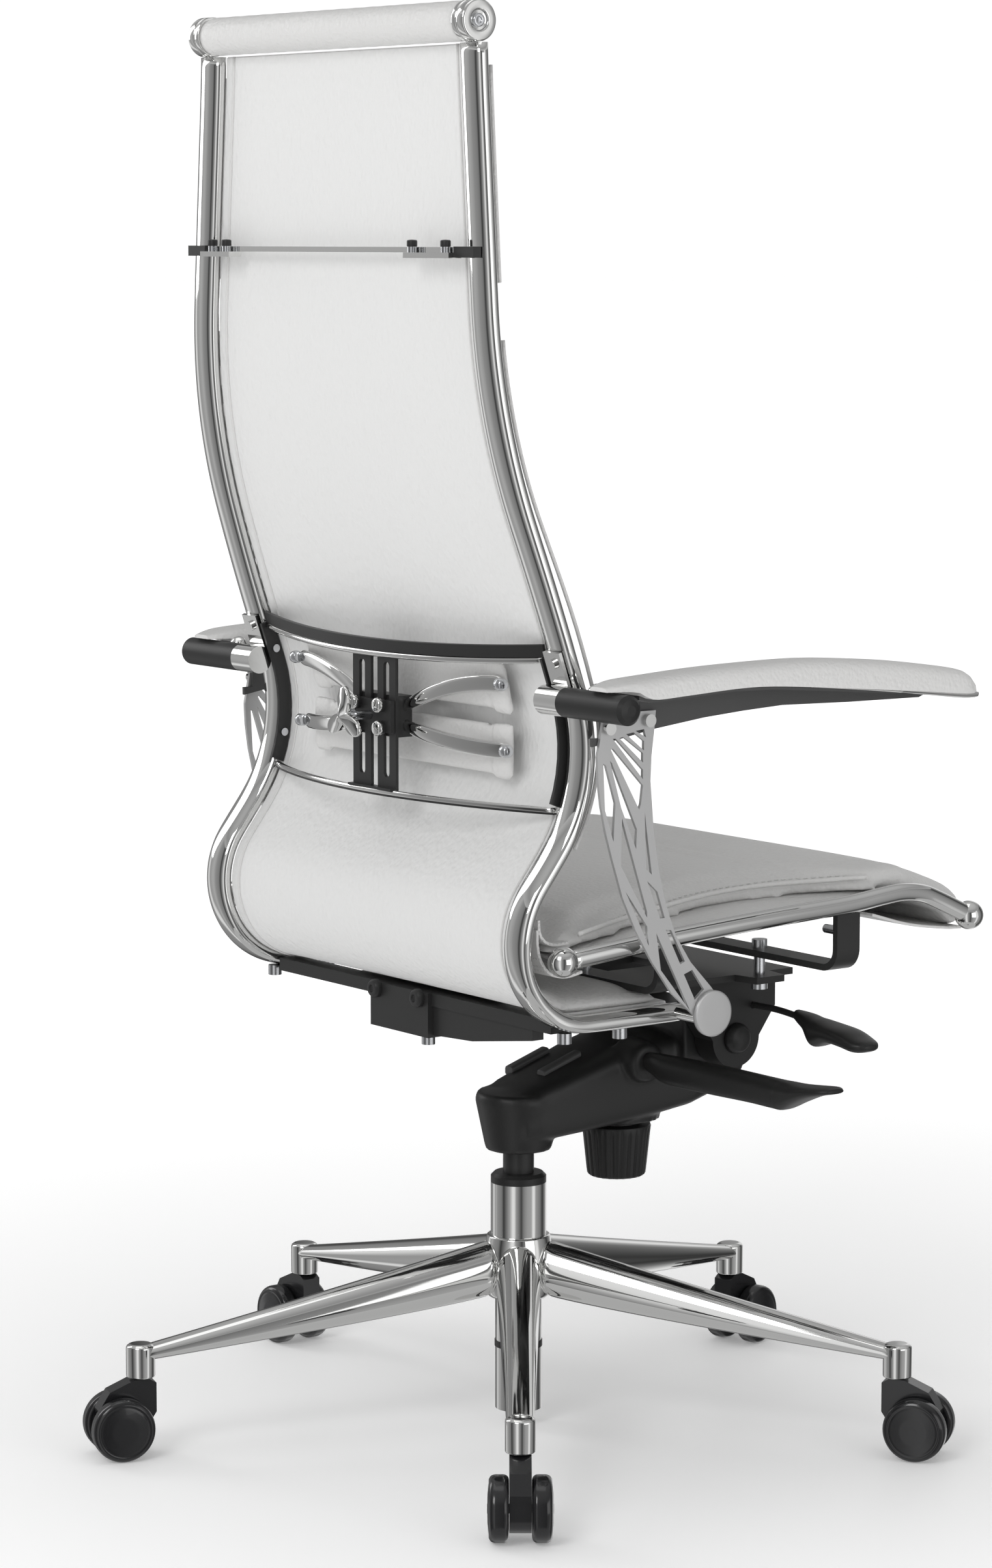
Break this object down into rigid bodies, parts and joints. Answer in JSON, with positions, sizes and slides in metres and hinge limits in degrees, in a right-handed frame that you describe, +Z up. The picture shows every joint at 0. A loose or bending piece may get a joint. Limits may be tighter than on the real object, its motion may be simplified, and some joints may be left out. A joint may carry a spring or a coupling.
{
  "type": "swivel office chair",
  "caption": "High-back swivel office chair with bent tube back frame, armrests, adjustable lumbar support, tilt mechanism, gas lift and a rolling star base.",
  "frame": {"origin": "on the floor, on the column axis", "axes": "+Z up, the chair's front is -Y, the sitter's right is -X"},
  "size_m": [0.7358, 0.7707, 1.2573],
  "materials": {
    "chrome": "polished chrome plating",
    "base_metal": "polished and chromed casting",
    "satin_metal": "satin sheet metal",
    "bolt_steel": "zinc plated",
    "black_metal": "black powder coat",
    "grey_web": "dark grey paint",
    "black_plastic": "fine-grained black plastic",
    "gloss_black": "polished black plastic",
    "white_leather": "soft white leather",
    "white_fabric": "woven white back cloth"
  },
  "bodies": {
    "base": {"star_base": "base_metal", "column_tube": "chrome", "guide_bush": "black_plastic", "thrust_bearing": "bolt_steel"},
    "column_rod": {"piston_rod": "bolt_steel"},
    "mechanism": {"gas_cylinder": "black_metal", "mechanism_housing": "black_plastic", "tilt_spring": "bolt_steel", "pivot_pin": "bolt_steel"},
    "tension_knob": {"tension_knob": "black_plastic", "tension_screw": "bolt_steel"},
    "height_lever": {"height_lever": "black_plastic"},
    "lock_lever": {"lock_rod": "black_metal", "lock_paddle": "black_plastic"},
    "seat_back": {"top_plate": "black_metal", "pivot_ears": "black_plastic", "front_strap": "black_metal", "rear_strap": "black_metal", "strap_bolts": "bolt_steel", "seat_tube_left": "chrome", "seat_tube_right": "chrome", "seat_cushion": "white_leather", "back_tube_left": "chrome", "back_tube_right": "chrome", "back_panel": "white_fabric", "head_pad": "white_leather", "back_pad": "white_leather", "head_roller": "white_leather", "roller_caps": "chrome", "upper_bar": "chrome", "upper_bar_blocks": "black_metal", "lower_bar": "black_metal", "lower_bracket": "black_metal", "frame_screws": "bolt_steel", "lumbar_rails": "chrome", "lumbar_strips": "black_metal", "lumbar_guides": "black_metal", "arm_clamps": "chrome", "arm_sleeves": "black_plastic", "arm_web_left": "grey_web", "arm_web_right": "grey_web", "side_plate_left": "satin_metal", "side_plate_right": "satin_metal", "arm_pad_left": "white_leather", "arm_pad_right": "white_leather", "arm_bolts": "chrome"},
    "lumbar_carriage": {"lumbar_slider": "black_metal", "lumbar_arms": "chrome", "lumbar_pads": "white_leather"},
    "lumbar_knob": {"lumbar_knob": "chrome"},
    "caster_1": {"caster_body_1": "gloss_black"},
    "wheels_1": {"caster_wheels_1": "gloss_black"},
    "caster_2": {"caster_body_2": "gloss_black"},
    "wheels_2": {"caster_wheels_2": "gloss_black"},
    "caster_3": {"caster_body_3": "gloss_black"},
    "wheels_3": {"caster_wheels_3": "gloss_black"},
    "caster_4": {"caster_body_4": "gloss_black"},
    "wheels_4": {"caster_wheels_4": "gloss_black"},
    "caster_5": {"caster_body_5": "gloss_black"},
    "wheels_5": {"caster_wheels_5": "gloss_black"}
  },
  "joints": [
    {"name": "chair_swivel", "type": "hinge", "parent": "base", "child": "column_rod", "pos_m": [0, 0, 0.1], "axis": [0, 0, 1], "continuous": true},
    {"name": "height_lift", "type": "slide", "parent": "column_rod", "child": "mechanism", "axis": [0, 0, 1], "range_m": [-0.02, 0.08]},
    {"name": "back_tilt", "type": "hinge", "parent": "mechanism", "child": "seat_back", "pos_m": [0, -0.18, 0.346], "axis": [-1, 0, 0], "range_deg": [0, 15]},
    {"name": "tension_knob_turn", "type": "hinge", "parent": "mechanism", "child": "tension_knob", "pos_m": [0, -0.112, 0.25], "axis": [0, 0, 1], "continuous": true},
    {"name": "height_lever_lift", "type": "hinge", "parent": "mechanism", "child": "height_lever", "pos_m": [-0.058, -0.1, 0.33], "axis": [0, 1, 0], "range_deg": [0, 10]},
    {"name": "lock_lever_turn", "type": "hinge", "parent": "seat_back", "child": "lock_lever", "pos_m": [-0.1, -0.2, 0.374], "axis": [1, 0, 0], "range_deg": [0, 30]},
    {"name": "lumbar_height", "type": "slide", "parent": "seat_back", "child": "lumbar_carriage", "axis": [0, 0, 1], "range_m": [-0.01, 0.01]},
    {"name": "lumbar_knob_turn", "type": "hinge", "parent": "lumbar_carriage", "child": "lumbar_knob", "pos_m": [0, 0.19, 0.655], "axis": [0, 1, 0], "continuous": true},
    {"name": "caster_swivel_1", "type": "hinge", "parent": "base", "child": "caster_1", "pos_m": [-0.28062, 0.20917, 0.08], "axis": [0, 0, 1], "continuous": true},
    {"name": "wheel_spin_1", "type": "hinge", "parent": "caster_1", "child": "wheels_1", "pos_m": [-0.29666, 0.22112, 0.028], "axis": [-0.5976, -0.8018, 0], "continuous": true},
    {"name": "caster_swivel_2", "type": "hinge", "parent": "base", "child": "caster_2", "pos_m": [-0.28565, -0.20225, 0.08], "axis": [0, 0, 1], "continuous": true},
    {"name": "wheel_spin_2", "type": "hinge", "parent": "caster_2", "child": "wheels_2", "pos_m": [-0.30197, -0.21381, 0.028], "axis": [0.5779, -0.8161, 0], "continuous": true},
    {"name": "caster_swivel_3", "type": "hinge", "parent": "base", "child": "caster_3", "pos_m": [0.10408, -0.33417, 0.08], "axis": [0, 0, 1], "continuous": true},
    {"name": "wheel_spin_3", "type": "hinge", "parent": "caster_3", "child": "wheels_3", "pos_m": [0.11003, -0.35326, 0.028], "axis": [0.9548, 0.2974, 0], "continuous": true},
    {"name": "caster_swivel_4", "type": "hinge", "parent": "base", "child": "caster_4", "pos_m": [0.34997, -0.00428, 0.08], "axis": [0, 0, 1], "continuous": true},
    {"name": "wheel_spin_4", "type": "hinge", "parent": "caster_4", "child": "wheels_4", "pos_m": [0.36997, -0.00452, 0.028], "axis": [0.0122, 0.9999, 0], "continuous": true},
    {"name": "caster_swivel_5", "type": "hinge", "parent": "base", "child": "caster_5", "pos_m": [0.11221, 0.33152, 0.08], "axis": [0, 0, 1], "continuous": true},
    {"name": "wheel_spin_5", "type": "hinge", "parent": "caster_5", "child": "wheels_5", "pos_m": [0.11863, 0.35047, 0.028], "axis": [-0.9472, 0.3206, 0], "continuous": true}
  ]
}
